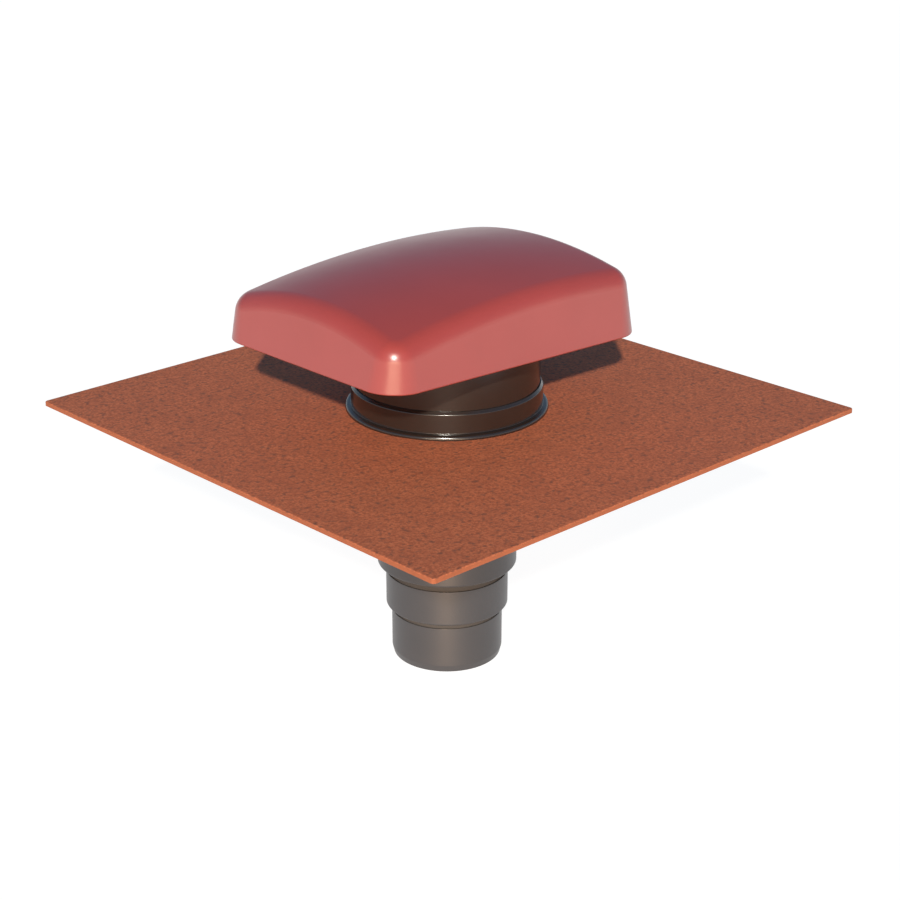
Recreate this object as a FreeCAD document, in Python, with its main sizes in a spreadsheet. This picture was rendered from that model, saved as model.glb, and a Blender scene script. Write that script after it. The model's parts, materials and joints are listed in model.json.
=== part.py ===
import FreeCAD, Part
import math
import os
import Sketcher

# Roof tile vent: a crowned rain hood on a tube that stands through a square flashing sheet,
# with a stepped connector for ducts below the roof.
# Millimetres. +Z is up, the origin is on the tube's axis at the underside of the flashing sheet,
# X runs along the hood's long side, towards +X to the end where its skirt hangs lower.

doc = FreeCAD.newDocument("roof_tile_vent")
sheet = doc.addObject("Spreadsheet::Sheet", "dims")

SIZES = [
    ("sheet_length", 500.0, "flashing sheet along X"),
    ("sheet_width", 500.0, "flashing sheet along Y"),
    ("sheet_thickness", 4.0, "flashing sheet"),
    ("sheet_corner", 3.0, "radius of the sheet's upright corners"),
    ("sheet_round", 1.0, "rounding of the sheet's upper outer edge"),
    ("tube_diameter", 162.0, "vent tube, outside"),
    ("tube_wall", 3.5, "vent tube wall"),
    ("tube_rise", 103.0, "vent tube above the sheet's upper face"),
    ("tube_drop", 64.0, "vent tube below the sheet's underside"),
    ("slip_clearance", 0.3, "gap between the tube and what it slides in, and round the sheet's hole"),
    ("collar_wall", 2.4, "collar sleeve wall"),
    ("collar_rise", 21.0, "collar sleeve above the sheet's upper face, up to its shoulder"),
    ("collar_shoulder", 2.4, "height of the shoulder that closes on the tube"),
    ("collar_mouth", 0.6, "wall left at the top of the shoulder"),
    ("shoulder_round", 1.2, "rounding where the shoulder leaves the sleeve"),
    ("collar_tail", 8.0, "collar sleeve below the sheet's underside"),
    ("lip_reach", 5.0, "collar lip beyond the sleeve"),
    ("lip_thickness", 4.2, "collar lip on the sheet"),
    ("lip_round", 3.0, "rounding of the lip's upper edge"),
    ("seal_height", 4.4, "rubber rings, along the tube"),
    ("seal_groove", 1.3, "depth of the grooves for the rubber rings"),
    ("seal_gap", 0.1, "gap between a rubber ring and its groove and tube"),
    ("collar_seal_level", 10.0, "underside of the collar's groove above the sheet's upper face"),
    ("socket_drop", 20.0, "connector's upper end below the sheet's underside"),
    ("socket_seal_drop", 10.0, "top of the socket's groove below the connector's upper end"),
    ("connector_wall", 2.5, "connector wall"),
    ("connector_ledge", 3.0, "ledge that the tube's lower end stands on"),
    ("cone_length", 32.0, "funnel between the socket and the widest spigot"),
    ("wide_spigot_diameter", 125.0, "upper spigot, outside"),
    ("wide_spigot_length", 44.0, "upper spigot"),
    ("wide_ledge", 2.5, "fall of the ledge below the upper spigot"),
    ("middle_spigot_diameter", 110.0, "middle spigot, outside"),
    ("middle_spigot_length", 38.5, "middle spigot"),
    ("middle_ledge", 2.0, "fall of the ledge below the middle spigot"),
    ("narrow_spigot_diameter", 100.0, "lower spigot, outside"),
    ("narrow_spigot_length", 47.0, "lower spigot with its lead-in"),
    ("lead_in_length", 6.0, "lead-in at the lower spigot's end"),
    ("lead_in_depth", 1.5, "lead-in at the lower spigot's end, on the radius"),
    ("ledge_round", 1.5, "rounding of the two ledges' outer edges"),
    ("hood_length", 300.0, "hood at its lowest edge, along X"),
    ("hood_width", 222.0, "hood at its lowest edge, along Y"),
    ("hood_shift", -15.0, "middle of the hood along X"),
    ("hood_wall", 3.0, "hood wall"),
    ("hood_corner", 33.0, "plan radius of the hood's corners at the lowest edge"),
    ("hood_corner_top", 8.0, "plan radius of the same corners at the loft's upper outline"),
    ("end_draft", 13.0, "lean of the hood's ends, degrees"),
    ("side_draft", 8.5, "lean of the hood's sides, degrees"),
    ("rim_clearance", 62.6, "hood's lowest edge above the sheet's upper face"),
    ("rim_slope", 2.0, "fall of the hood's lower edge towards +X, degrees"),
    ("crown_rise", 138.0, "top of the hood above the sheet's upper face"),
    ("crown_shift", 15.0, "top of the hood along X"),
    ("crown_radius_long", 935.0, "arch of the hood's roof along X"),
    ("crown_radius_cross", 345.0, "arch of the hood's roof along Y"),
    ("crown_round", 19.0, "rounding between the hood's roof and its walls"),
    ("rim_round", 1.0, "rounding of the outer edge of the hood's rim"),
    ("hood_rib", 2.0, "ribs between the hood's posts and its walls"),
    ("hood_rib_rise", 8.0, "lower edge of those ribs above the tube's upper end"),
    ("screw_stand", 12.0, "hood screws out from the tube's outside"),
    ("screw_turn", 45.0, "first hood screw round from X, degrees"),
    ("screw_count", 4.0, "hood screws, ears and posts"),
    ("screw_diameter", 4.0, "hood screw shank"),
    ("screw_bite", 13.0, "hood screw in its post"),
    ("screw_head_diameter", 8.0, "hood screw head"),
    ("screw_head_height", 3.0, "hood screw head"),
    ("screw_pilot_gap", 0.1, "gap between a screw and the hole in its post, on the radius"),
    ("screw_ear_gap", 0.4, "gap between a screw and the hole in its ear, on the radius"),
    ("screw_point_gap", 3.0, "hole in the post past the screw's point"),
    ("post_diameter", 13.0, "posts under the hood's roof"),
    ("ear_thickness", 4.0, "ears at the tube's upper end"),
    ("ear_width", 18.0, "ears at the tube's upper end"),
    ("gusset_thickness", 3.0, "web below each ear"),
    ("gusset_height", 18.0, "web below each ear"),
    ("gusset_gap", 2.0, "gap between a web and the screw's head"),
    ("grille_seat_depth", 8.0, "recess in the tube's upper end for the grille"),
    ("grille_seat_wall", 1.8, "tube wall beside that recess"),
    ("grille_rim_width", 4.0, "rim of the grille"),
    ("grille_rim_height", 6.0, "rim of the grille"),
    ("grille_thickness", 3.0, "bars of the grille, up and down"),
    ("grille_gap", 4.0, "slots of the grille"),
    ("grille_bar", 2.4, "bars between the slots"),
    ("grille_rib", 3.0, "cross ribs of the grille"),
]


class Size:
    """A length or angle: its number, and the expression that ties it to the sheet of sizes."""

    def __init__(self, value, text):
        self.value = value
        self.text = text

    def __add__(self, other):
        other = as_size(other)
        return Size(self.value + other.value, "(%s + %s)" % (self.text, other.text))

    def __sub__(self, other):
        other = as_size(other)
        return Size(self.value - other.value, "(%s - %s)" % (self.text, other.text))

    def __mul__(self, other):
        other = as_size(other)
        return Size(self.value * other.value, "(%s * %s)" % (self.text, other.text))

    def __truediv__(self, other):
        other = as_size(other)
        return Size(self.value / other.value, "(%s / %s)" % (self.text, other.text))

    def __neg__(self):
        return Size(-self.value, "(0 - %s)" % self.text)

    def tangent(self):
        return Size(math.tan(math.radians(self.value)), "tan(%s * 1 deg)" % self.text)

    def cosine(self):
        return Size(math.cos(math.radians(self.value)), "cos(%s * 1 deg)" % self.text)

    def sine(self):
        return Size(math.sin(math.radians(self.value)), "sin(%s * 1 deg)" % self.text)

    def root(self):
        return Size(math.sqrt(self.value), "sqrt(%s)" % self.text)

    def rounded_down(self):
        return Size(float(math.floor(self.value)), "floor(%s)" % self.text)


def as_size(item):
    if isinstance(item, Size):
        return item
    return Size(float(item), repr(float(item)))


class Sizes:
    """The named sizes of the sheet, as attributes."""


d = Sizes()
for row, (alias, number, note) in enumerate(SIZES, start=1):
    sheet.set("A%d" % row, alias)
    sheet.set("B%d" % row, repr(number))
    sheet.set("C%d" % row, note)
    sheet.setAlias("B%d" % row, alias)
    setattr(d, alias, Size(number, "dims." + alias))
doc.recompute()

# Levels and radii that several pieces share.
sheet_top = d.sheet_thickness
tube_radius = d.tube_diameter / 2
tube_bore = tube_radius - d.tube_wall
tube_top = sheet_top + d.tube_rise
tube_foot = -d.tube_drop
slip_radius = tube_radius + d.slip_clearance
collar_radius = slip_radius + d.collar_wall
hole_radius = collar_radius + d.slip_clearance
ear_foot = tube_top - d.ear_thickness
grille_seat_radius = tube_radius - d.grille_seat_wall
grille_level = tube_top - d.grille_seat_depth
rim_low = sheet_top + d.rim_clearance
crown_top = sheet_top + d.crown_rise
screw_circle = tube_radius + d.screw_stand
pilot_radius = d.screw_diameter / 2 + d.screw_pilot_gap


def new_body(name):
    body = doc.addObject("PartDesign::Body", name)
    body.Label = name
    body.AllowCompound = True
    return body


def plane_of(body, role):
    for feature in body.Origin.OriginFeatures:
        if feature.Role == role:
            return feature
    raise RuntimeError("no plane " + role)


def new_sketch(body, name, role, level=None):
    """Sketch on one of the body's origin planes, raised along the plane's normal by level."""
    sketch = body.newObject("Sketcher::SketchObject", name)
    sketch.AttachmentSupport = [(plane_of(body, role), "")]
    sketch.MapMode = "FlatFace"
    if level is not None:
        sketch.AttachmentOffset = FreeCAD.Placement(FreeCAD.Vector(0, 0, level.value), FreeCAD.Rotation())
        sketch.setExpression("AttachmentOffset.Base.z", level.text)
    return sketch


def tie(sketch, kind, where, size):
    """Adds a constraint of that kind and ties its number to a size."""
    index = sketch.addConstraint(Sketcher.Constraint(kind, *where, size.value))
    sketch.setExpression("Constraints[%d]" % index, size.text)


def pin_point(sketch, edge, end, x, y):
    tie(sketch, "DistanceX", (-1, 1, edge, end), as_size(x))
    tie(sketch, "DistanceY", (-1, 1, edge, end), as_size(y))


def outline(sketch, points):
    """Closed outline of straight lines through points, each tied by its two coordinates."""
    points = [(as_size(x), as_size(y)) for x, y in points]
    corners = [FreeCAD.Vector(x.value, y.value, 0) for x, y in points]
    first = len(sketch.Geometry)
    count = len(points)
    for i in range(count):
        sketch.addGeometry(Part.LineSegment(corners[i], corners[(i + 1) % count]), False)
    for i in range(count):
        after = first + (i + 1) % count
        sketch.addConstraint(Sketcher.Constraint("Coincident", first + i, 2, after, 1))
    for i, (x, y) in enumerate(points):
        pin_point(sketch, first + i, 1, x, y)


def circle(sketch, x, y, radius):
    x, y, radius = as_size(x), as_size(y), as_size(radius)
    index = sketch.addGeometry(
        Part.Circle(FreeCAD.Vector(x.value, y.value, 0), FreeCAD.Vector(0, 0, 1), radius.value), False)
    tie(sketch, "Radius", (index,), radius)
    pin_point(sketch, index, 3, x, y)


def rounded_rectangle(sketch, x_low, x_high, y_half, radius):
    """Rectangle with four equal round corners, tied by the corners' centres and radius."""
    centres = [
        (x_high - radius, y_half - radius, 0.0),
        (x_low + radius, y_half - radius, 90.0),
        (x_low + radius, radius - y_half, 180.0),
        (x_high - radius, radius - y_half, 270.0),
    ]
    ends = []
    for x, y, start in centres:
        round_arc = Part.Arc(
            Part.Circle(FreeCAD.Vector(x.value, y.value, 0), FreeCAD.Vector(0, 0, 1), radius.value),
            math.radians(start), math.radians(start + 90.0))
        sketch.addGeometry(round_arc, False)
        ends.append((round_arc.StartPoint, round_arc.EndPoint))
    for i in range(4):
        sketch.addGeometry(Part.LineSegment(ends[i][1], ends[(i + 1) % 4][0]), False)
    for i in range(4):
        sketch.addConstraint(Sketcher.Constraint("Tangent", i, 2, 4 + i, 1))
        sketch.addConstraint(Sketcher.Constraint("Tangent", 4 + i, 2, (i + 1) % 4, 1))
    for i, (x, y, start) in enumerate(centres):
        tie(sketch, "Radius", (i,), radius)
        pin_point(sketch, i, 3, x, y)


def pad(body, name, sketch, length, midplane=False, reverse=False):
    feature = body.newObject("PartDesign::Pad", name)
    feature.Profile = sketch
    feature.Length = length.value
    feature.setExpression("Length", length.text)
    feature.Midplane = midplane
    feature.Reversed = reverse
    doc.recompute()
    return feature


def pocket(body, name, sketch, length, midplane=False, upward=False):
    """Cut of a given depth; it runs against the sketch's normal, or along it if upward."""
    before = body.Shape.Volume
    feature = body.newObject("PartDesign::Pocket", name)
    feature.Profile = sketch
    feature.Length = length.value
    feature.setExpression("Length", length.text)
    feature.Midplane = midplane
    feature.Reversed = upward
    doc.recompute()
    if body.Shape.Volume > before - 1e-6:
        raise RuntimeError(name + " cuts nothing")
    return feature


def turned(body, name, sketch):
    """Full turn of a half section about the tube's axis."""
    feature = body.newObject("PartDesign::Revolution", name)
    feature.Profile = sketch
    feature.ReferenceAxis = (sketch, ["V_Axis"])
    feature.Angle = 360.0
    doc.recompute()
    return feature


def polar(body, name, originals, count):
    feature = body.newObject("PartDesign::PolarPattern", name)
    feature.Originals = originals
    feature.Axis = (plane_of(body, "Z_Axis"), [""])
    feature.Angle = 360.0
    feature.Occurrences = int(count.value)
    feature.setExpression("Occurrences", count.text)
    body.Tip = feature
    doc.recompute()
    return feature


def turn_round_tube(body, angle):
    """Places a body turned about the tube's axis."""
    body.Placement = FreeCAD.Placement(
        FreeCAD.Vector(0, 0, 0), FreeCAD.Rotation(FreeCAD.Vector(0, 0, 1), angle.value))
    body.setExpression("Placement.Rotation.Angle", angle.text + " * 1 deg")
    doc.recompute()


def rounded_edges(body, name, base, radius, chosen):
    """Rounds the edges of base for which chosen(edge) holds."""
    names = ["Edge%d" % (i + 1) for i, edge in enumerate(base.Shape.Edges) if chosen(edge)]
    feature = body.newObject("PartDesign::Fillet", name)
    feature.Base = (base, names)
    feature.Radius = radius.value
    feature.setExpression("Radius", radius.text)
    doc.recompute()
    return feature


def near(a, b):
    return abs(a - b) < 0.01


# Flashing sheet: square plate with the hole that the collar stands in.
flashing_sheet = new_body("flashing_sheet")
plate_outline = new_sketch(flashing_sheet, "plate_outline", "XY_Plane")
half_x = d.sheet_length / 2
half_y = d.sheet_width / 2
rounded_rectangle(plate_outline, -half_x, half_x, half_y, d.sheet_corner)
circle(plate_outline, 0, 0, hole_radius)
plate = pad(flashing_sheet, "plate", plate_outline, d.sheet_thickness)


def is_plate_edge(edge):
    box = edge.BoundBox
    middle = box.Center
    outside = math.hypot(middle.x, middle.y) > (hole_radius + d.sheet_corner).value
    return outside and near(box.ZMin, sheet_top.value) and near(box.ZMax, sheet_top.value)


rounded_edges(flashing_sheet, "plate_rounding", plate, d.sheet_round, is_plate_edge)

# Collar: sleeve through the sheet, a lip that lies on it, and a groove for the rubber ring.
flashing_collar = new_body("flashing_collar")
collar_half = new_sketch(flashing_collar, "collar_half", "XZ_Plane")
groove_low = sheet_top + d.collar_seal_level
groove_high = groove_low + d.seal_height + d.seal_gap * 2
groove_radius = slip_radius + d.seal_groove
shoulder_low = sheet_top + d.collar_rise
collar_top = shoulder_low + d.collar_shoulder
outline(collar_half, [
    (slip_radius, -d.collar_tail),
    (collar_radius, -d.collar_tail),
    (collar_radius, sheet_top),
    (collar_radius + d.lip_reach, sheet_top),
    (collar_radius + d.lip_reach, sheet_top + d.lip_thickness),
    (collar_radius, sheet_top + d.lip_thickness),
    (collar_radius, shoulder_low),
    (slip_radius + d.collar_mouth, collar_top),
    (slip_radius, collar_top),
    (slip_radius, groove_high),
    (groove_radius, groove_high),
    (groove_radius, groove_low),
    (slip_radius, groove_low),
])
collar_turned = turned(flashing_collar, "collar_turned", collar_half)
lip_level = (sheet_top + d.lip_thickness).value
lip_radius = (collar_radius + d.lip_reach).value


def is_lip_edge(edge):
    box = edge.BoundBox
    return near(box.ZMin, lip_level) and near(box.ZMax, lip_level) and near(box.XMax, lip_radius)


def is_shoulder_edge(edge):
    box = edge.BoundBox
    level = shoulder_low.value
    return near(box.ZMin, level) and near(box.ZMax, level) and near(box.XMax, collar_radius.value)


lip_rounding = rounded_edges(flashing_collar, "lip_rounding", collar_turned, d.lip_round, is_lip_edge)
rounded_edges(flashing_collar, "shoulder_rounding", lip_rounding, d.shoulder_round, is_shoulder_edge)

# Rubber ring in the collar's groove.
collar_seal = new_body("collar_seal")
ring_half = new_sketch(collar_seal, "ring_half", "XZ_Plane")
seal_inner = tube_radius + d.seal_gap
seal_outer = groove_radius - d.seal_gap
outline(ring_half, [
    (seal_inner, groove_low + d.seal_gap),
    (seal_outer, groove_low + d.seal_gap),
    (seal_outer, groove_low + d.seal_gap + d.seal_height),
    (seal_inner, groove_low + d.seal_gap + d.seal_height),
])
turned(collar_seal, "ring", ring_half)

# Vent tube: turned wall with a recess for the grille, and ears with webs at its upper end.
vent_tube = new_body("vent_tube")
tube_half = new_sketch(vent_tube, "tube_half", "XZ_Plane")
outline(tube_half, [
    (tube_bore, tube_foot),
    (tube_radius, tube_foot),
    (tube_radius, tube_top),
    (grille_seat_radius, tube_top),
    (grille_seat_radius, grille_level),
    (tube_bore, grille_level),
])
turned(vent_tube, "tube_wall", tube_half)
ear_root = tube_radius - d.grille_seat_wall / 2
half_ear = d.ear_width / 2
ear_plan = new_sketch(vent_tube, "ear_plan", "XY_Plane", ear_foot)
ear_corners = [
    FreeCAD.Vector(screw_circle.value, half_ear.value, 0),
    FreeCAD.Vector(ear_root.value, half_ear.value, 0),
    FreeCAD.Vector(ear_root.value, -half_ear.value, 0),
    FreeCAD.Vector(screw_circle.value, -half_ear.value, 0),
]
for i in range(3):
    ear_plan.addGeometry(Part.LineSegment(ear_corners[i], ear_corners[i + 1]), False)
ear_plan.addGeometry(Part.Arc(
    Part.Circle(FreeCAD.Vector(screw_circle.value, 0, 0), FreeCAD.Vector(0, 0, 1), half_ear.value),
    -math.pi / 2, math.pi / 2), False)
ear_plan.addConstraint(Sketcher.Constraint("Coincident", 0, 2, 1, 1))
ear_plan.addConstraint(Sketcher.Constraint("Coincident", 1, 2, 2, 1))
ear_plan.addConstraint(Sketcher.Constraint("Tangent", 2, 2, 3, 1))
ear_plan.addConstraint(Sketcher.Constraint("Tangent", 3, 2, 0, 1))
pin_point(ear_plan, 1, 1, ear_root, half_ear)
pin_point(ear_plan, 1, 2, ear_root, -half_ear)
pin_point(ear_plan, 3, 3, screw_circle, as_size(0))
circle(ear_plan, screw_circle, 0, d.screw_diameter / 2 + d.screw_ear_gap)
ear = pad(vent_tube, "ear", ear_plan, d.ear_thickness)
web_side = new_sketch(vent_tube, "web_side", "XZ_Plane")
web_reach = screw_circle - d.screw_head_diameter / 2 - d.gusset_gap
outline(web_side, [
    (ear_root, ear_foot),
    (web_reach, ear_foot),
    (ear_root, ear_foot - d.gusset_height),
])
web = pad(vent_tube, "web", web_side, d.gusset_thickness, midplane=True)
polar(vent_tube, "ears", [ear, web], d.screw_count)
turn_round_tube(vent_tube, d.screw_turn)

# Stepped connector: socket for the tube, funnel, and three spigots for ducts.
stepped_connector = new_body("stepped_connector")
connector_half = new_sketch(stepped_connector, "connector_half", "XZ_Plane")
socket_top = -d.socket_drop
socket_radius = slip_radius + d.connector_wall
ring_top = socket_top - d.socket_seal_drop
ring_low = ring_top - d.seal_height - d.seal_gap * 2
ledge_low = tube_foot - d.connector_ledge
wide_top = ledge_low - d.cone_length
wide_low = wide_top - d.wide_spigot_length
middle_top = wide_low - d.wide_ledge
middle_low = middle_top - d.middle_spigot_length
narrow_top = middle_low - d.middle_ledge
narrow_low = narrow_top - d.narrow_spigot_length
wide_radius = d.wide_spigot_diameter / 2
middle_radius = d.middle_spigot_diameter / 2
narrow_radius = d.narrow_spigot_diameter / 2
outline(connector_half, [
    (slip_radius, socket_top),
    (slip_radius, ring_top),
    (slip_radius + d.seal_groove, ring_top),
    (slip_radius + d.seal_groove, ring_low),
    (slip_radius, ring_low),
    (slip_radius, tube_foot),
    (tube_bore, tube_foot),
    (tube_bore, ledge_low),
    (wide_radius - d.connector_wall, wide_top),
    (wide_radius - d.connector_wall, wide_low + d.connector_wall),
    (middle_radius - d.connector_wall, middle_top + d.connector_wall),
    (middle_radius - d.connector_wall, middle_low + d.connector_wall),
    (narrow_radius - d.connector_wall, narrow_top + d.connector_wall),
    (narrow_radius - d.connector_wall, narrow_low),
    (narrow_radius - d.lead_in_depth, narrow_low),
    (narrow_radius, narrow_low + d.lead_in_length),
    (narrow_radius, narrow_top),
    (middle_radius, middle_low),
    (middle_radius, middle_top),
    (wide_radius, wide_low),
    (wide_radius, wide_top),
    (socket_radius, ledge_low),
    (socket_radius, socket_top),
])
connector_turned = turned(stepped_connector, "connector_turned", connector_half)
ledge_rings = [(wide_low.value, wide_radius.value), (middle_low.value, middle_radius.value)]


def is_ledge_edge(edge):
    box = edge.BoundBox
    for level, radius in ledge_rings:
        if near(box.ZMin, level) and near(box.ZMax, level) and near(box.XMax, radius):
            return True
    return False


rounded_edges(stepped_connector, "ledge_rounding", connector_turned, d.ledge_round, is_ledge_edge)

# Rubber ring in the connector's socket.
connector_seal = new_body("connector_seal")
socket_ring_half = new_sketch(connector_seal, "socket_ring_half", "XZ_Plane")
outline(socket_ring_half, [
    (seal_inner, ring_low + d.seal_gap),
    (slip_radius + d.seal_groove - d.seal_gap, ring_low + d.seal_gap),
    (slip_radius + d.seal_groove - d.seal_gap, ring_top - d.seal_gap),
    (seal_inner, ring_top - d.seal_gap),
])
turned(connector_seal, "socket_ring", socket_ring_half)

# Insect grille: slotted disc in a rim, stiffened by two cross ribs.
insect_grille = new_body("insect_grille")
grille_radius = grille_seat_radius - d.slip_clearance
grille_pitch = d.grille_gap + d.grille_bar
clear_radius = grille_radius - d.grille_rim_width
slot_count = ((clear_radius * 2 - d.grille_bar) / grille_pitch).rounded_down()
slot_first = -(grille_pitch * (slot_count - 1)) / 2
disc_plan = new_sketch(insect_grille, "disc_plan", "XY_Plane", grille_level)
circle(disc_plan, 0, 0, grille_radius)
pad(insect_grille, "disc", disc_plan, d.grille_thickness)
slot_plan = new_sketch(insect_grille, "slot_plan", "XY_Plane", grille_level)
outline(slot_plan, [
    (-grille_radius, slot_first - d.grille_gap / 2),
    (grille_radius, slot_first - d.grille_gap / 2),
    (grille_radius, slot_first + d.grille_gap / 2),
    (-grille_radius, slot_first + d.grille_gap / 2),
])
slot = pocket(insect_grille, "slot", slot_plan, d.grille_thickness, upward=True)
slots = insect_grille.newObject("PartDesign::LinearPattern", "slots")
slots.Originals = [slot]
slots.Direction = (plane_of(insect_grille, "Y_Axis"), [""])
slot_travel = grille_pitch * (slot_count - 1)
slots.Length = slot_travel.value
slots.setExpression("Length", slot_travel.text)
slots.Occurrences = int(slot_count.value)
slots.setExpression("Occurrences", slot_count.text)
insect_grille.Tip = slots
doc.recompute()
rim_plan = new_sketch(insect_grille, "rim_plan", "XY_Plane", grille_level)
circle(rim_plan, 0, 0, grille_radius)
circle(rim_plan, 0, 0, clear_radius)
pad(insect_grille, "rim", rim_plan, d.grille_rim_height)
rib_plan = new_sketch(insect_grille, "rib_plan", "XY_Plane", grille_level)
rim_middle = clear_radius + d.grille_rim_width / 2
for side in (-1, 1):
    rib_middle = clear_radius * side / 3
    rib_reach = (rim_middle * rim_middle - rib_middle * rib_middle).root()
    outline(rib_plan, [
        (rib_middle - d.grille_rib / 2, -rib_reach),
        (rib_middle + d.grille_rib / 2, -rib_reach),
        (rib_middle + d.grille_rib / 2, rib_reach),
        (rib_middle - d.grille_rib / 2, rib_reach),
    ])
pad(insect_grille, "ribs", rib_plan, d.grille_thickness)

# Hood screws: pan heads below the ears, shanks up into the hood's posts.
hood_screws = new_body("hood_screws")
screw_half = new_sketch(hood_screws, "screw_half", "XZ_Plane")
shank_edge = screw_circle + d.screw_diameter / 2
head_edge = screw_circle + d.screw_head_diameter / 2
outline(screw_half, [
    (screw_circle, ear_foot - d.screw_head_height),
    (head_edge, ear_foot - d.screw_head_height),
    (head_edge, ear_foot),
    (shank_edge, ear_foot),
    (shank_edge, tube_top + d.screw_bite - d.screw_diameter / 2),
    (screw_circle, tube_top + d.screw_bite),
])
screw = hood_screws.newObject("PartDesign::Revolution", "screw")
screw.Profile = screw_half
screw.ReferenceAxis = (screw_half, ["Edge6"])
screw.Angle = 360.0
doc.recompute()
polar(hood_screws, "screws", [screw], d.screw_count)
turn_round_tube(hood_screws, d.screw_turn)


# Hood: drafted walls under a doubly arched roof, hollowed by a core whose bores and slots leave
# the posts and their ribs. The cuts for its roof and rim reach well past it on every side.
ROOF_SWEEP = 40.0
loft_height = crown_top - rim_low + d.crown_round / 2
cut_height = d.crown_round * 3
cut_width = d.hood_width * 2


def hood_block(body, inset, below):
    """Drafted block under the arched roof: walls inset from the outside, begun below the lowest edge."""
    end_lean = d.end_draft.tangent()
    side_lean = d.side_draft.tangent()
    for name, level in (("lower_outline", -below), ("upper_outline", loft_height)):
        half_length = d.hood_length / 2 - inset - level * end_lean
        half_width = d.hood_width / 2 - inset - level * side_lean
        share = level / loft_height
        corner = d.hood_corner - (d.hood_corner - d.hood_corner_top) * share - inset
        plan = new_sketch(body, body.Name + "_" + name, "XY_Plane", rim_low + level)
        rounded_rectangle(plan, d.hood_shift - half_length, d.hood_shift + half_length, half_width, corner)
    lower = doc.getObject(body.Name + "_lower_outline")
    upper = doc.getObject(body.Name + "_upper_outline")
    doc.recompute()
    walls = body.newObject("PartDesign::AdditiveLoft", body.Name + "_walls")
    walls.Profile = lower
    walls.Sections = [upper]
    walls.Ruled = True
    doc.recompute()
    roof_top = crown_top - inset
    long_radius = d.crown_radius_long - inset
    cross_radius = d.crown_radius_cross - inset
    arch = new_sketch(body, body.Name + "_arch", "YZ_Plane", d.crown_shift)
    reach = d.hood_width / 2 + d.crown_round
    fall = cross_radius.value - math.sqrt(cross_radius.value ** 2 - reach.value ** 2)
    above = roof_top + cut_height
    centre_z = roof_top - cross_radius
    turn = math.asin(reach.value / cross_radius.value)
    arch.addGeometry(Part.Arc(
        Part.Circle(FreeCAD.Vector(0, centre_z.value, 0), FreeCAD.Vector(0, 0, 1), cross_radius.value),
        math.pi / 2 - turn, math.pi / 2 + turn), False)
    right_foot = FreeCAD.Vector(reach.value, roof_top.value - fall, 0)
    left_foot = FreeCAD.Vector(-reach.value, roof_top.value - fall, 0)
    right_top = FreeCAD.Vector(reach.value, above.value, 0)
    left_top = FreeCAD.Vector(-reach.value, above.value, 0)
    arch.addGeometry(Part.LineSegment(left_foot, left_top), False)
    arch.addGeometry(Part.LineSegment(left_top, right_top), False)
    arch.addGeometry(Part.LineSegment(right_top, right_foot), False)
    axis_z = roof_top - long_radius
    arch.addGeometry(Part.LineSegment(
        FreeCAD.Vector(-reach.value, axis_z.value, 0), FreeCAD.Vector(reach.value, axis_z.value, 0)), True)
    arch.addConstraint(Sketcher.Constraint("Coincident", 0, 2, 1, 1))
    arch.addConstraint(Sketcher.Constraint("Coincident", 1, 2, 2, 1))
    arch.addConstraint(Sketcher.Constraint("Coincident", 2, 2, 3, 1))
    arch.addConstraint(Sketcher.Constraint("Coincident", 3, 2, 0, 1))
    tie(arch, "Radius", (0,), cross_radius)
    pin_point(arch, 0, 3, as_size(0), centre_z)
    pin_point(arch, 2, 1, -reach, above)
    pin_point(arch, 2, 2, reach, above)
    arch.addConstraint(Sketcher.Constraint("Vertical", 1))
    arch.addConstraint(Sketcher.Constraint("Vertical", 3))
    pin_point(arch, 4, 1, -reach, axis_z)
    pin_point(arch, 4, 2, reach, axis_z)
    doc.recompute()
    before = body.Shape.Volume
    roof = body.newObject("PartDesign::Groove", body.Name + "_roof")
    roof.Profile = arch
    roof.ReferenceAxis = (arch, ["Axis0"])
    roof.Angle = ROOF_SWEEP
    roof.Midplane = True
    doc.recompute()
    if roof.Shape.isNull() or roof.Shape.Volume > before - 1.0:
        raise RuntimeError("the roof of %s cuts nothing" % body.Name)
    roof_face = [f for f in roof.Shape.Faces if f.Surface.TypeId == "Part::GeomToroid"][0]

    def is_roof_edge(edge):
        return any(edge.isSame(other) for other in roof_face.Edges)

    return rounded_edges(body, body.Name + "_rounding", roof, d.crown_round - inset, is_roof_edge)


along_x = d.screw_turn.cosine()
along_y = d.screw_turn.sine()
hood_core = new_body("hood_core")
hood_block(hood_core, d.hood_wall, d.hood_wall * 2)
post_plan = new_sketch(hood_core, "post_plan", "XY_Plane", tube_top)
circle(post_plan, screw_circle * along_x, screw_circle * along_y, d.post_diameter / 2)
post_bore = pocket(hood_core, "post_bore", post_plan, crown_top - tube_top, upward=True)
rib_line = new_sketch(hood_core, "rib_line", "XY_Plane", tube_top + d.hood_rib_rise)
half_rib = d.hood_rib / 2
outline(rib_line, [
    (screw_circle * along_x + half_rib * along_y, screw_circle * along_y - half_rib * along_x),
    (d.hood_width * along_x + half_rib * along_y, d.hood_width * along_y - half_rib * along_x),
    (d.hood_width * along_x - half_rib * along_y, d.hood_width * along_y + half_rib * along_x),
    (screw_circle * along_x - half_rib * along_y, screw_circle * along_y + half_rib * along_x),
])
rib_slot = pocket(hood_core, "rib_slot", rib_line, crown_top - tube_top, upward=True)
polar(hood_core, "posts_and_ribs", [post_bore, rib_slot], d.screw_count)

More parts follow.
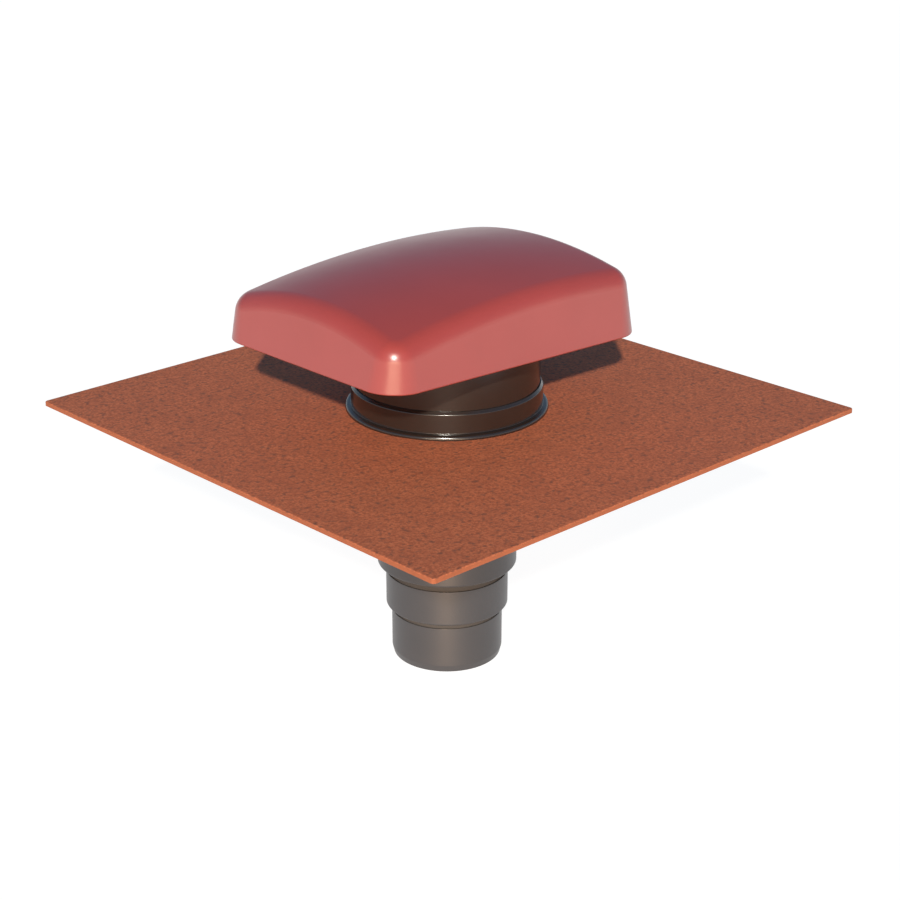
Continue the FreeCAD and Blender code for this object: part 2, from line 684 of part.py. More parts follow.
hood = new_body("hood")
hood_block(hood, as_size(0), as_size(0))
rim_side = new_sketch(hood, "rim_side", "XZ_Plane")
half_hood = d.hood_length / 2
rim_far = d.hood_shift + half_hood
rim_near = d.hood_shift - half_hood
outline(rim_side, [
    (rim_far, rim_low),
    (rim_near, rim_low + d.hood_length * d.rim_slope.tangent()),
    (rim_near, rim_low - d.crown_round),
    (rim_far, rim_low - d.crown_round),
])
rim_cut = pocket(hood, "rim_cut", rim_side, cut_width, midplane=True)


def is_rim_edge(edge):
    slope = d.rim_slope.tangent().value
    return all(near(p.Z, rim_low.value + (rim_far.value - p.X) * slope) for p in edge.Vertexes)


rounded_edges(hood, "rim_rounding", rim_cut, d.rim_round, is_rim_edge)
hollow = hood.newObject("PartDesign::Boolean", "hollow")
hollow.Type = "Cut"
hollow.setObjects([hood_core])
hood.Tip = hollow
doc.recompute()
pilot_plan = new_sketch(hood, "pilot_plan", "XY_Plane", tube_top)
circle(pilot_plan, screw_circle * along_x, screw_circle * along_y, pilot_radius)
pilot_hole = pocket(hood, "pilot_hole", pilot_plan, d.screw_bite + d.screw_point_gap, upward=True)
polar(hood, "pilot_holes", [pilot_hole], d.screw_count)

doc.recompute()
PIECES = [hood, vent_tube, flashing_collar, flashing_sheet, stepped_connector,
          hood_screws, insect_grille, collar_seal, connector_seal]
for item in doc.Objects:
    if "Invalid" in item.State or "Error" in item.State:
        raise RuntimeError("%s is %s" % (item.Name, item.State))
for piece in PIECES:
    if piece.Shape.isNull() or not piece.Shape.isValid():
        raise RuntimeError("%s has no valid shape" % piece.Label)
os.makedirs("parts", exist_ok=True)
for piece in PIECES:
    piece.Shape.exportStep("parts/%s.step" % piece.Label)
    print(piece.Label, len(piece.Shape.Solids), round(piece.Shape.Volume / 1000.0, 2), "cm3")
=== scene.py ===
import json
import math

import bpy
import numpy as np
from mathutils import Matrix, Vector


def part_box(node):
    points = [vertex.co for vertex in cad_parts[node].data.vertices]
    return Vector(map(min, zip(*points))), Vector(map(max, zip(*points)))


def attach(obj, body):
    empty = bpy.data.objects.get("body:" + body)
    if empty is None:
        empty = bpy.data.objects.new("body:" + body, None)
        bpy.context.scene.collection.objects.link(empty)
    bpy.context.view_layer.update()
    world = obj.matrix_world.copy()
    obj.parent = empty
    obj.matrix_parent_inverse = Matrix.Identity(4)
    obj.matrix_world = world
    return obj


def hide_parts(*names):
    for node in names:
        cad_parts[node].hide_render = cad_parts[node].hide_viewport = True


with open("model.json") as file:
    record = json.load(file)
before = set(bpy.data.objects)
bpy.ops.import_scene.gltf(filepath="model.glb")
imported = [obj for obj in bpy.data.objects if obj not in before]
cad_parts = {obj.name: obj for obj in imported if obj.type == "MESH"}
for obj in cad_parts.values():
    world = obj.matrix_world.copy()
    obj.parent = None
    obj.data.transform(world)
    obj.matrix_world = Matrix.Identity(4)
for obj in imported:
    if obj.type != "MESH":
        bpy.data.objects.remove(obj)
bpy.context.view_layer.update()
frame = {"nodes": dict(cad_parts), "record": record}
nodes = frame["nodes"]
mounts = {mount["name"]: mount for mount in frame["record"]["mounts"]}

# Lengths are in metres, in the part's own frame: the tube stands on the z axis, and z = 0 is the
# underside of the flashing sheet.
MM = 0.001
RING_COLUMNS = 192

sheet_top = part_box("flashing_sheet")[1].z
collar_low, collar_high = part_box("flashing_collar")
connector_low, connector_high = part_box("stepped_connector")
tube_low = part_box("vent_tube")[0]
screws_low, screws_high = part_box("hood_screws")
floor_level = connector_low.z

TUBE_RADIUS = 81.0 * MM
TUBE_WALL = 3.5 * MM
SLIP = 0.3 * MM
BORE = TUBE_RADIUS + SLIP

# Meshes.


def rounded_outline(corners, steps=6, support=0.25 * MM):
    """Closed outline in (radius, height) with every corner rounded by an arc of its own radius.

    corners holds rows of radius, height and rounding. With u and v the unit directions from a corner
    to its neighbours and a the angle between them, the arc's ends lie r / tan(a / 2) along u and v, its
    centre r / sin(a / 2) along the bisector, and its points turn evenly from one end to the other. A
    support point stands beside each end, at most a third of the way to the next arc, so that the flat
    stretches shade as flat.
    """
    corners = np.asarray(corners, dtype=float)
    points, radii = corners[:, :2], corners[:, 2:]
    to_last = np.roll(points, 1, axis=0) - points
    to_next = np.roll(points, -1, axis=0) - points
    last_length = np.linalg.norm(to_last, axis=1, keepdims=True)
    next_length = np.linalg.norm(to_next, axis=1, keepdims=True)
    u = to_last / last_length
    v = to_next / next_length
    half = np.arccos(np.clip((u * v).sum(axis=1, keepdims=True), -1.0, 1.0)) / 2
    tangent = radii / np.tan(half)
    bisector = (u + v) / np.linalg.norm(u + v, axis=1, keepdims=True)
    centre = points + bisector * radii / np.sin(half)
    first = points + u * tangent - centre
    last = points + v * tangent - centre
    turn = np.pi - 2 * half
    share = np.linspace(0.0, 1.0, steps)[None, :, None]
    weight_first = np.sin((1 - share) * turn[:, None]) / np.sin(turn[:, None])
    weight_last = np.sin(share * turn[:, None]) / np.sin(turn[:, None])
    arcs = centre[:, None] + weight_first * first[:, None] + weight_last * last[:, None]
    spare_before = last_length - tangent - np.roll(tangent, 1, axis=0)
    spare_after = next_length - tangent - np.roll(tangent, -1, axis=0)
    before = points + u * (tangent + np.minimum(support, spare_before / 3))
    after = points + v * (tangent + np.minimum(support, spare_after / 3))
    return np.concatenate([before[:, None], arcs, after[:, None]], axis=1).reshape(-1, 2)


def mesh_object(name, points, faces, finish, node):
    """Makes a smooth-shaded piece of points and faces, which stands for a CAD node."""
    mesh = bpy.data.meshes.new(name)
    mesh.from_pydata(points.tolist(), [], faces)
    mesh.polygons.foreach_set("use_smooth", np.ones(len(mesh.polygons), dtype=bool))
    mesh.update()
    piece = bpy.data.objects.new(name, mesh)
    bpy.context.scene.collection.objects.link(piece)
    mesh.materials.append(finish)
    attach(piece, "root")
    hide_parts(node)


def grid_faces(rows, columns, closed_rows):
    """Four-sided faces of a grid of points: each joins a point, the next one in its row, and the same
    two of the next row. Every row closes on itself, and the last row meets the first if closed_rows."""
    last = rows if closed_rows else rows - 1
    row, column = np.meshgrid(np.arange(last), np.arange(columns), indexing="ij")
    next_row = (row + 1) % rows
    next_column = (column + 1) % columns
    quads = np.stack([row * columns + column, row * columns + next_column,
                      next_row * columns + next_column, next_row * columns + column], axis=-1)
    return quads.reshape(-1, 4)


def turned_points(outline, columns):
    """Carries an outline round the z axis: x = r cos t, y = r sin t, z = h for each angle t."""
    angle = np.linspace(0.0, 2 * np.pi, columns, endpoint=False)
    radius, height = outline[:, :1], outline[:, 1:]
    x = radius * np.cos(angle)
    y = radius * np.sin(angle)
    z = np.broadcast_to(height, x.shape)
    return np.stack([x, y, z], axis=-1).reshape(-1, 3)


def turned_ring(name, corners, finish, node):
    """Ring turned from a closed outline that runs anticlockwise, seen with the axis on the left."""
    outline = rounded_outline(corners)
    faces = grid_faces(len(outline), RING_COLUMNS, closed_rows=True)
    mesh_object(name, turned_points(outline, RING_COLUMNS), faces.tolist(), finish, node)


# Collar: sleeve through the sheet, with a round lip and a shoulder that closes on the tube.

COLLAR_WALL = 2.4 * MM
LIP_REACH = 5.0 * MM
LIP_THICKNESS = 4.2 * MM
LIP_ROUND = 3.0 * MM
SHOULDER = 2.4 * MM
SHOULDER_ROUND = 1.2 * MM
COLLAR_MOUTH = 0.6 * MM
COLLAR_GROOVE_LEVEL = 10.0 * MM
GROOVE_DEPTH = 1.3 * MM
GROOVE_HEIGHT = 4.6 * MM
CRISP = 0.15 * MM
EASED = 0.5 * MM


def flashing_collar(finish):
    """Sleeve round the bore, with a lip that lies on the sheet, a sloping shoulder at its upper end, and
    a groove in its bore for the rubber ring."""
    sleeve = BORE + COLLAR_WALL
    lip_top = sheet_top + LIP_THICKNESS
    groove_low = sheet_top + COLLAR_GROOVE_LEVEL
    groove_high = groove_low + GROOVE_HEIGHT
    turned_ring("flashing_collar_turned", [
        (BORE, collar_low.z, EASED),
        (sleeve, collar_low.z, EASED),
        (sleeve, sheet_top, CRISP),
        (sleeve + LIP_REACH, sheet_top, EASED),
        (sleeve + LIP_REACH, lip_top, LIP_ROUND),
        (sleeve, lip_top, EASED),
        (sleeve, collar_high.z - SHOULDER, SHOULDER_ROUND),
        (BORE + COLLAR_MOUTH, collar_high.z, CRISP),
        (BORE, collar_high.z, CRISP),
        (BORE, groove_high, CRISP),
        (BORE + GROOVE_DEPTH, groove_high, CRISP),
        (BORE + GROOVE_DEPTH, groove_low, CRISP),
        (BORE, groove_low, CRISP),
    ], finish, "flashing_collar")


# Connector: socket for the tube, funnel, and three spigots with a groove under each of two ledges.

CONNECTOR_WALL = 2.5 * MM
LEDGE_ROUND = 1.5 * MM
SEAT_LEDGE = 3.0 * MM
SOCKET_GROOVE_DROP = 10.0 * MM
LEAD_IN_LENGTH = 6.0 * MM
LEAD_IN_DEPTH = 1.5 * MM
LEAD_IN_EDGE = 0.25 * MM
NECK_DEPTH = 1.4 * MM
NECK_SHARE = 0.8
# The grooves' plain colour is painted shade. It is about that of the plastic and set, with NECK_ROUGHNESS,
# for the dark lines under the ledges.
NECK_PAINTED_SHADE = (0.03, 0.029, 0.029)
NECK_ROUGHNESS = 0.85


def spigot(name):
    """Radius, upper level and lower level of a spigot's straight stretch, from its mount."""
    mount = mounts[name]
    half = mount["dims"]["length_mm"] * MM / 2
    level = mount["pos_m"][2]
    return mount["dims"]["r_mm"] * MM, level + half, level - half


def neck_levels():
    """Lower and upper level of the grooves under the wide and the middle spigot's ledge. Each groove is
    as tall as a share of the step in radius that its ledge makes."""
    wide = spigot("duct_spigot_125")[0]
    middle, middle_top = spigot("duct_spigot_110")[:2]
    narrow, narrow_top = spigot("duct_spigot_100")[:2]
    return [
        (middle_top - NECK_SHARE * (wide - middle), middle_top),
        (narrow_top - NECK_SHARE * (middle - narrow), narrow_top),
    ]


def neck(radius, low, ledge):
    """Corners of the shallow groove between two levels, from its lower edge up to the ledge."""
    return [
        (radius, low, CRISP),
        (radius - NECK_DEPTH, low, CRISP),
        (radius - NECK_DEPTH, ledge, CRISP),
    ]


def stepped_connector(finish):
    """Outline down the inside, from the socket past its groove and the tube's seat to the spigots' bores,
    and up the outside. The upper two spigots end LEDGE_ROUND below their straight stretches."""
    wide, wide_top, wide_low = spigot("duct_spigot_125")
    middle, middle_top, middle_low = spigot("duct_spigot_110")
    narrow, narrow_top = spigot("duct_spigot_100")[:2]
    wide_low -= LEDGE_ROUND
    middle_low -= LEDGE_ROUND
    upper_neck, lower_neck = neck_levels()
    groove_high = connector_high.z - SOCKET_GROOVE_DROP
    groove_low = groove_high - GROOVE_HEIGHT
    seat_low = tube_low.z - SEAT_LEDGE
    wall = CONNECTOR_WALL
    turned_ring("stepped_connector_turned", [
        (BORE, connector_high.z, EASED),
        (BORE, groove_high, CRISP),
        (BORE + GROOVE_DEPTH, groove_high, CRISP),
        (BORE + GROOVE_DEPTH, groove_low, CRISP),
        (BORE, groove_low, CRISP),
        (BORE, tube_low.z, CRISP),
        (TUBE_RADIUS - TUBE_WALL, tube_low.z, EASED),
        (TUBE_RADIUS - TUBE_WALL, seat_low, EASED),
        (wide - wall, wide_top, LEDGE_ROUND),
        (wide - wall, wide_low + wall, EASED),
        (middle - wall, middle_top + wall, LEDGE_ROUND),
        (middle - wall, middle_low + wall, EASED),
        (narrow - wall, narrow_top + wall, LEDGE_ROUND),
        (narrow - wall, connector_low.z, CRISP),
        (narrow - LEAD_IN_DEPTH, connector_low.z, LEAD_IN_EDGE),
        (narrow, connector_low.z + LEAD_IN_LENGTH, LEAD_IN_LENGTH),
        *neck(narrow, *lower_neck),
        (middle, middle_low, LEDGE_ROUND),
        *neck(middle, *upper_neck),
        (wide, wide_low, LEDGE_ROUND),
        (wide, wide_top, LEDGE_ROUND),
        (BORE + wall, seat_low, LEDGE_ROUND),
        (BORE + wall, connector_high.z, EASED),
    ], finish, "stepped_connector")


# Hood screws: pan heads with a cross recess, below the ears of the tube.

SCREW_COLUMNS = 64
SCREW_COUNT = 4
SCREW_TURN = 0.9
SCREW_LENGTH = screws_high.z - screws_low.z
HEAD_RADIUS = 4.0 * MM
HEAD_HEIGHT = 3.0 * MM
DOME_ROWS = 24
DOME_SHARE = 0.7
DOME_POWER = 1.5
SHANK_RADIUS = 2.0 * MM
TIP_RADIUS = 0.1 * MM
RECESS_DEPTH = 1.6 * MM
RECESS_REACH = 2.3 * MM
RECESS_HALF_WIDTH = 0.55 * MM
RECESS_SOFT = 0.3


def smooth_step(value):
    """0 below 0, 1 above 1, and 3 v^2 - 2 v^3 between."""
    value = np.clip(value, 0.0, 1.0)
    return value * value * (3 - 2 * value)


def screw_points():
    """One upright screw on the z axis, head down: an outline turned round the axis, with a cross sunk
    in the head. The head's dome widens with the sine of an angle and rises with a power of one minus
    its cosine. The recess is as deep as a smooth step of the distance to the nearer of two crossed
    lines, times a smooth step of the distance along them."""
    angle = np.linspace(0.0, 1.0, DOME_ROWS + 1)[1:] * np.pi / 2
    dome_radius = HEAD_RADIUS * np.sin(angle)
    dome_height = HEAD_HEIGHT * DOME_SHARE * (1 - np.cos(angle)) ** DOME_POWER
    rest = np.array([
        (HEAD_RADIUS, HEAD_HEIGHT),
        (SHANK_RADIUS, HEAD_HEIGHT),
        (SHANK_RADIUS, SCREW_LENGTH - SHANK_RADIUS),
        (TIP_RADIUS, SCREW_LENGTH),
    ])
    outline = np.concatenate([np.stack([dome_radius, dome_height], axis=1), rest])
    points = turned_points(outline, SCREW_COLUMNS)
    across = np.minimum(np.abs(points[:, 0]), np.abs(points[:, 1]))
    along = np.maximum(np.abs(points[:, 0]), np.abs(points[:, 1]))
    arm_edge = RECESS_HALF_WIDTH * (1 + RECESS_SOFT)
    in_arm = smooth_step((arm_edge - across) / (2 * RECESS_SOFT * RECESS_HALF_WIDTH))
    in_reach = smooth_step((RECESS_REACH - along) / (RECESS_SOFT * RECESS_REACH))
    on_dome = points[:, 2] < HEAD_HEIGHT * DOME_SHARE
    points[:, 2] += RECESS_DEPTH * in_arm * in_reach * on_dome
    poles = np.array([(0.0, 0.0, RECESS_DEPTH), (0.0, 0.0, SCREW_LENGTH)])
    return np.concatenate([points, poles]), len(outline)


def screw_faces(rows):
    """Faces of one screw: its grid, and a fan of triangles at each pole."""
    grid = grid_faces(rows, SCREW_COLUMNS, closed_rows=False)
    column = np.arange(SCREW_COLUMNS)
    after = (column + 1) % SCREW_COLUMNS
    low_pole = np.full(SCREW_COLUMNS, rows * SCREW_COLUMNS)
    last = (rows - 1) * SCREW_COLUMNS
    low_fan = np.stack([low_pole, after, column], axis=1)
    high_fan = np.stack([low_pole + 1, last + column, last + after], axis=1)
    return grid, np.concatenate([low_fan, high_fan])


def hood_screws(finish):
    """The same screw in each corner of the node's box, its head touching both sides, and turned about its
    own axis by SCREW_TURN radians more than the last."""
    one, rows = screw_points()
    grid, fans = screw_faces(rows)
    number = np.arange(SCREW_COUNT)
    corner_x = (screws_high.x - HEAD_RADIUS) * np.where(number % 2, 1.0, -1.0)
    corner_y = (screws_high.y - HEAD_RADIUS) * np.where(number // 2, 1.0, -1.0)
    turn = (number * SCREW_TURN)[:, None]
    x = np.cos(turn) * one[:, 0] - np.sin(turn) * one[:, 1] + corner_x[:, None]
    y = np.sin(turn) * one[:, 0] + np.cos(turn) * one[:, 1] + corner_y[:, None]
    z = np.broadcast_to(one[:, 2] + screws_low.z, x.shape)
    points = np.stack([x, y, z], axis=-1).reshape(-1, 3)
    shift = (number * len(one))[:, None, None]
    faces = (grid + shift).reshape(-1, 4).tolist() + (fans + shift).reshape(-1, 3).tolist()
    mesh_object("hood_screws_turned", points, faces, finish, "hood_screws")


# Shader nodes.

TONE_DARK_AT = 0.3
TONE_LIGHT_AT = 0.7


def shader_tree(name):
    """Makes an empty node material, and returns it with its tree and its output node."""
    material = bpy.data.materials.new(name)
    material.use_nodes = True
    tree = material.node_tree
    tree.nodes.clear()
    output = tree.nodes.new("ShaderNodeOutputMaterial")
    return material, tree, output


def add_node(tree, kind, **values):
    """Adds a node; keywords are its own properties, or its sockets by name with _ for a space."""
    node = tree.nodes.new(kind)
    for key, value in values.items():
        socket = node.inputs.get(key.replace("_", " "))
        if socket is not None:
            socket.default_value = value
        else:
            setattr(node, key, value)
    return node


def link(tree, source, target):
    """Joins an output socket to an input socket."""
    tree.links.new(source, target)


def principled(name, **values):
    """Makes a material of one principled shader, and returns it with its tree, the object's own
    coordinates and the shader. Keywords are the shader's sockets."""
    material, tree, output = shader_tree(name)
    place = add_node(tree, "ShaderNodeTexCoord").outputs["Object"]
    shader = add_node(tree, "ShaderNodeBsdfPrincipled", **values)
    link(tree, shader.outputs["BSDF"], output.inputs["Surface"])
    return material, tree, place, shader


def noise(tree, place, scale, detail, roughness=0.55):
    """Noise about 0.5 with some scale features a metre, and with detail finer octaves, each weaker than
    the last by roughness."""
    node = add_node(tree, "ShaderNodeTexNoise", Scale=scale, Detail=detail, Roughness=roughness)
    link(tree, place, node.inputs["Vector"])
    return node.outputs["Fac"]


def ramp(tree, value, stops):
    """Colour ramp through (position, colour) stops."""
    node = add_node(tree, "ShaderNodeValToRGB")
    points = node.color_ramp.elements
    while len(points) < len(stops):
        points.new(0.5)
    for point, (position, colour) in zip(points, stops):
        point.position = position
        point.color = (*colour, 1.0)
    link(tree, value, node.inputs["Fac"])
    return node.outputs["Color"]


def two_tone(tree, value, dark, light):
    """Colour that runs from dark to light over the middle values of a noise."""
    return ramp(tree, value, [(TONE_DARK_AT, dark), (TONE_LIGHT_AT, light)])


def span(tree, value, low, high, start=0.0, end=1.0):
    """Carries a value from start..end to low..high, and holds it there beyond."""
    node = add_node(tree, "ShaderNodeMapRange")
    node.inputs["From Min"].default_value = start
    node.inputs["From Max"].default_value = end
    node.inputs["To Min"].default_value = low
    node.inputs["To Max"].default_value = high
    link(tree, value, node.inputs["Value"])
    return node.outputs["Result"]


def blend(tree, share, first, second):
    """Colour between first and second; second may be a plain colour."""
    node = add_node(tree, "ShaderNodeMix", data_type="RGBA")
    link(tree, share, node.inputs["Factor"])
    link(tree, first, node.inputs["A"])
    if isinstance(second, tuple):
        node.inputs["B"].default_value = (*second, 1.0)
    else:
        link(tree, second, node.inputs["B"])
    return node.outputs["Result"]


def blend_shaders(tree, share, first, second):
    """Shader between first and second."""
    node = add_node(tree, "ShaderNodeMixShader")
    link(tree, share, node.inputs["Fac"])
    link(tree, first, node.inputs[1])
    link(tree, second, node.inputs[2])
    return node.outputs["Shader"]


def reckon(tree, operation, first, second):
    """Value that a math node makes of two values."""
    node = add_node(tree, "ShaderNodeMath", operation=operation)
    link(tree, first, node.inputs[0])
    link(tree, second, node.inputs[1])
    return node.outputs["Value"]


def height_of(tree, vector):
    """The z part of a vector."""
    node = add_node(tree, "ShaderNodeSeparateXYZ")
    link(tree, vector, node.inputs["Vector"])
    return node.outputs["Z"]


def bump(tree, height, strength, distance):
    """Normal tilted as by a relief of a height from 0 to 1 times distance, at a given strength."""
    node = add_node(tree, "ShaderNodeBump", Strength=strength, Distance=distance)
    link(tree, height, node.inputs["Height"])
    return node.outputs["Normal"]


def within(tree, level, low, high, soft=0.15 * MM):
    """1 where a level lies between low and high, falling to 0 over a soft stretch beyond each."""
    above = span(tree, level, 0.0, 1.0, low - soft, low)
    below = span(tree, level, 1.0, 0.0, high, high + soft)
    return reckon(tree, "MULTIPLY", above, below)


def in_grooves(tree, place, levels):
    """1 where the height lies within either of two pairs of levels, else 0: the larger of the two."""
    height = height_of(tree, place)
    first, second = [within(tree, height, low, high) for low, high in levels]
    return reckon(tree, "MAXIMUM", first, second)


# Plastics and rubber.

DRIFT_SCALE = 14.0
GLOSS_SCALE = 60.0
GLOSS_SWING = 0.03
GRAIN_SCALE = 1400.0
GRAIN_DEPTH = 0.2 * MM


def moulded_plastic(name, dark, light, roughness, grain, shine=1.5, specular=0.5, grooves=()):
    """Moulded plastic: slow drift of colour, uneven gloss, and a fine spark-eroded grain. shine is its
    refractive index, specular scales what that reflects, and grooves are two pairs of levels where it
    is rough and has one plain colour, which is painted shade for the dark lines under the ledges."""
    material, tree, place, shader = principled(name, IOR=shine, Specular_IOR_Level=specular)
    colour = two_tone(tree, noise(tree, place, DRIFT_SCALE, detail=3.0), dark, light)
    gloss = noise(tree, place, GLOSS_SCALE, detail=4.0)
    polish = span(tree, gloss, roughness - GLOSS_SWING, roughness + GLOSS_SWING)
    if grooves:
        groove_shade_share = in_grooves(tree, place, grooves)
        # Painted shade: the grooves take a plain colour for the dark lines under the ledges.
        colour = blend(tree, groove_shade_share, colour, NECK_PAINTED_SHADE)
        polish = reckon(tree, "MAXIMUM", polish, span(tree, groove_shade_share, 0.0, NECK_ROUGHNESS))
    link(tree, colour, shader.inputs["Base Color"])
    link(tree, polish, shader.inputs["Roughness"])
    fine = noise(tree, place, GRAIN_SCALE, detail=2.0)
    link(tree, bump(tree, fine, strength=grain, distance=GRAIN_DEPTH), shader.inputs["Normal"])
    return material


# Screw steel.

PLATING_SCALE = 900.0
PLATING_DARK = (0.5, 0.5, 0.48)
PLATING_LIGHT = (0.66, 0.66, 0.63)
PLATING_SMOOTH = 0.28
PLATING_ROUGH = 0.42


def plated_steel():
    """Zinc-plated steel: metal whose colour and polish vary together in fine specks."""
    material, tree, place, shader = principled("screw_steel", Metallic=1.0)
    specks = noise(tree, place, PLATING_SCALE, detail=4.0, roughness=0.7)
    link(tree, two_tone(tree, specks, PLATING_DARK, PLATING_LIGHT), shader.inputs["Base Color"])
    link(tree, span(tree, specks, PLATING_SMOOTH, PLATING_ROUGH), shader.inputs["Roughness"])
    return material


# Terracotta.

GRANULE_SCALE = 420.0
GRANULE_DEPTH = 0.5 * MM
GRANULE_REDS = [(0.36, (0.43, 0.114, 0.049)), (0.5, (0.58, 0.158, 0.066)), (0.64, (0.7, 0.198, 0.083))]
CLOUD_SCALE = 45.0
CLOUD_COLOUR = (0.44, 0.12, 0.055)
CLOUD_SHARE = 0.45
SPECK_SCALE = 215.0
SPECK_COLOUR = (0.18, 0.08, 0.05)
SPECK_SHARE = 0.7
EDGE_DARK = (0.43, 0.119, 0.047)
EDGE_LIGHT = (0.47, 0.131, 0.053)
COAT_START = sheet_top - 0.9 * MM
COAT_END = sheet_top - 0.3 * MM


def terracotta_sheet():
    """Fired-clay coloured sheet: fine granules of mixed reds with scattered dark grains on its upper
    face, and plain clay on its edges and underside. The coat sets in over a thin stretch of height."""
    material, tree, place, shader = principled("terracotta_granules", Roughness=0.7, Specular_IOR_Level=0.4)
    grains = noise(tree, place, GRANULE_SCALE, detail=3.0, roughness=0.65)
    clay = ramp(tree, grains, GRANULE_REDS)
    cloud = noise(tree, place, CLOUD_SCALE, detail=3.0)
    clay = blend(tree, span(tree, cloud, 0.0, CLOUD_SHARE, start=0.42, end=0.7), clay, CLOUD_COLOUR)
    specks = noise(tree, place, SPECK_SCALE, detail=2.0, roughness=0.5)
    clay = blend(tree, span(tree, specks, 0.0, SPECK_SHARE, start=0.54, end=0.72), clay, SPECK_COLOUR)
    coated = span(tree, height_of(tree, place), 0.0, 1.0, COAT_START, COAT_END)
    plain = two_tone(tree, cloud, EDGE_DARK, EDGE_LIGHT)
    link(tree, blend(tree, coated, plain, clay), shader.inputs["Base Color"])
    link(tree, bump(tree, grains, strength=0.2, distance=GRANULE_DEPTH), shader.inputs["Normal"])
    return material


# Floor and surround.

WHITE = (1.0, 1.0, 1.0, 1.0)
FLOOR_PALE = (0.85, 0.85, 0.85, 1.0)
FLOOR_SHADE = (0.14, 0.14, 0.14, 1.0)
FLOOR_GLOW = 0.94
FLOOR_REACH = 20.0
CEILING = [
    (0.0, (0.95, 0.95, 0.95)),
    (0.08, (0.62, 0.67, 0.72)),
    (0.2, (0.26, 0.37, 0.48)),
    (0.4, (0.1, 0.21, 0.36)),
    (1.0, (0.03, 0.085, 0.16)),
]


def seen_straight(tree, reflected):
    """1 for what the camera sees directly or through a clear piece, and in a reflection too if
    reflected, else 0."""
    path = add_node(tree, "ShaderNodeLightPath").outputs
    seen = reckon(tree, "MAXIMUM", path["Is Camera Ray"], path["Is Transmission Ray"])
    if reflected:
        seen = reckon(tree, "MAXIMUM", seen, path["Is Glossy Ray"])
    return seen


def pale_floor():
    """Pale floor: white where it is seen, with a thin share of its own light and shade on top."""
    material, tree, output = shader_tree("pale_floor")
    pale = add_node(tree, "ShaderNodeBsdfDiffuse", Color=FLOOR_PALE)
    shade = add_node(tree, "ShaderNodeBsdfDiffuse", Color=FLOOR_SHADE)
    white = add_node(tree, "ShaderNodeEmission", Color=WHITE, Strength=FLOOR_GLOW)
    seen = add_node(tree, "ShaderNodeAddShader")
    link(tree, shade.outputs["BSDF"], seen.inputs[0])
    link(tree, white.outputs["Emission"], seen.inputs[1])
    share = seen_straight(tree, reflected=True)
    surface = blend_shaders(tree, share, pale.outputs["BSDF"], seen.outputs["Shader"])
    link(tree, surface, output.inputs["Surface"])
    return material


def studio_surround():
    """White all round where it is seen; for light and reflections, nearly white up to the horizon and a
    dim bluish ceiling above it."""
    world = bpy.data.worlds.new("studio_surround")
    world.use_nodes = True
    tree = world.node_tree
    tree.nodes.clear()
    output = add_node(tree, "ShaderNodeOutputWorld")
    way = add_node(tree, "ShaderNodeTexCoord").outputs["Generated"]
    room = add_node(tree, "ShaderNodeBackground", Strength=1.0)
    link(tree, ramp(tree, height_of(tree, way), CEILING), room.inputs["Color"])
    white = add_node(tree, "ShaderNodeBackground", Color=WHITE, Strength=1.0)
    share = seen_straight(tree, reflected=False)
    surface = blend_shaders(tree, share, room.outputs["Background"], white.outputs["Background"])
    link(tree, surface, output.inputs["Surface"])
    return world


# Finishes, and the pieces that stand for their CAD nodes.

hood_red = moulded_plastic(
    "hood_red_plastic", dark=(0.395, 0.056, 0.043), light=(0.42, 0.06, 0.047),
    roughness=0.3, grain=0.004, specular=1.0)
vent_black = moulded_plastic(
    "vent_black_plastic", dark=(0.022, 0.0145, 0.011), light=(0.028, 0.019, 0.0145),
    roughness=0.22, grain=0.01, specular=1.0)
# The connector's grooves carry a plain colour as painted shade for the dark lines under the ledges.
connector_black = moulded_plastic(
    "connector_plastic", dark=(0.024, 0.025, 0.029), light=(0.03, 0.031, 0.036),
    roughness=0.4, grain=0.04, shine=1.62, grooves=neck_levels())
seal_rubber = moulded_plastic(
    "seal_rubber", dark=(0.012, 0.012, 0.012), light=(0.02, 0.02, 0.02),
    roughness=0.6, grain=0.1, specular=0.3)
screw_steel = plated_steel()

finishes = {
    "hood": hood_red,
    "vent_tube": vent_black,
    "flashing_collar": vent_black,
    "flashing_sheet": terracotta_sheet(),
    "stepped_connector": connector_black,
    "hood_screws": screw_steel,
    "insect_grille": vent_black,
    "collar_seal": seal_rubber,
    "connector_seal": seal_rubber,
}
for node_name, finish in finishes.items():
    nodes[node_name].data.materials.clear()
    nodes[node_name].data.materials.append(finish)

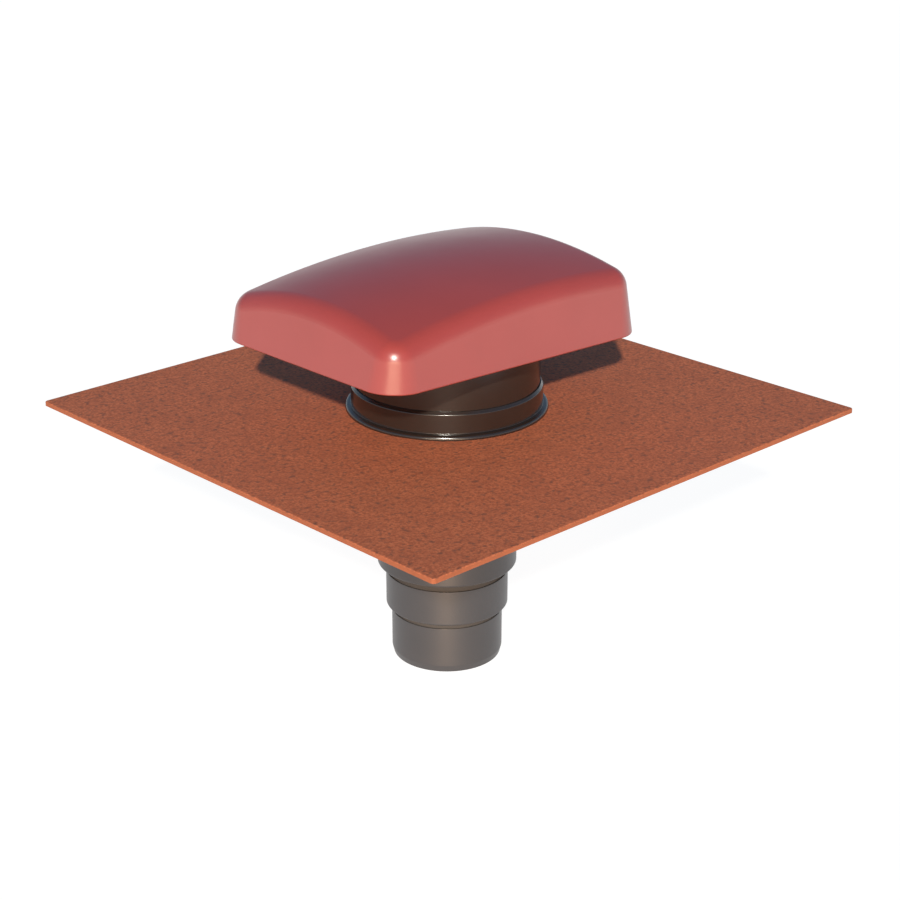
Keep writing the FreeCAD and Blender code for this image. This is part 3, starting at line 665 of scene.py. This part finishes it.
flashing_collar(vent_black)
stepped_connector(connector_black)
hood_screws(screw_steel)

# Floor, at the level of the connector's lower end.

floor_corners = np.array([(-1, -1), (1, -1), (1, 1), (-1, 1)]) * FLOOR_REACH
floor_mesh = bpy.data.meshes.new("floor")
floor_mesh.from_pydata([(x, y, floor_level) for x, y in floor_corners], [], [(0, 1, 2, 3)])
floor = bpy.data.objects.new("floor", floor_mesh)
floor.data.materials.append(pale_floor())
bpy.context.scene.collection.objects.link(floor)

# Light: a warm key, a warm softbox, a low spot on the connector, and the surround.


def lamp(name, kind, energy, colour, place, heading, height):
    """Lamp that shines along +Y turned by heading about z, and down by height, both in degrees."""
    light = bpy.data.lights.new(name, kind)
    light.energy = energy
    light.color = colour
    piece = bpy.data.objects.new(name, light)
    piece.location = place
    piece.rotation_euler = (math.radians(90.0 - height), 0.0, math.radians(heading))
    piece.visible_camera = False
    bpy.context.scene.collection.objects.link(piece)
    return light


key = lamp("key", "SUN", energy=3.05, colour=(1.0, 0.93, 0.83),
           place=(0.0, 0.0, 0.0), heading=-45.5, height=28.7)
key.angle = math.radians(2.0)

softbox = lamp("softbox", "AREA", energy=21.0, colour=(1.0, 0.72, 0.45),
               place=(-1.9, -1.9, 0.25), heading=-45.0, height=0.0)
softbox.shape = "RECTANGLE"
softbox.size = 2.0
softbox.size_y = 0.5

spot = lamp("connector_spot", "SPOT", energy=66.0, colour=(1.0, 0.66, 0.42),
            place=(-0.78, -0.78, -0.12), heading=-45.0, height=2.6)
spot.spot_size = math.radians(16.0)
spot.spot_blend = 0.4
spot.shadow_soft_size = 0.02

bpy.context.scene.world = studio_surround()

# Camera, at the photograph's viewing angle.

camera_data = bpy.data.cameras.new("camera")
camera_data.sensor_width = 36.0
camera_data.lens = 75.209
camera = bpy.data.objects.new("camera", camera_data)
camera.location = (-1.05955, -1.11817, 0.57221)
camera.rotation_euler = (math.radians(68.365), 0.0, math.radians(-43.56013))
bpy.context.scene.collection.objects.link(camera)
bpy.context.scene.camera = camera
bpy.context.scene.view_settings.view_transform = "Standard"
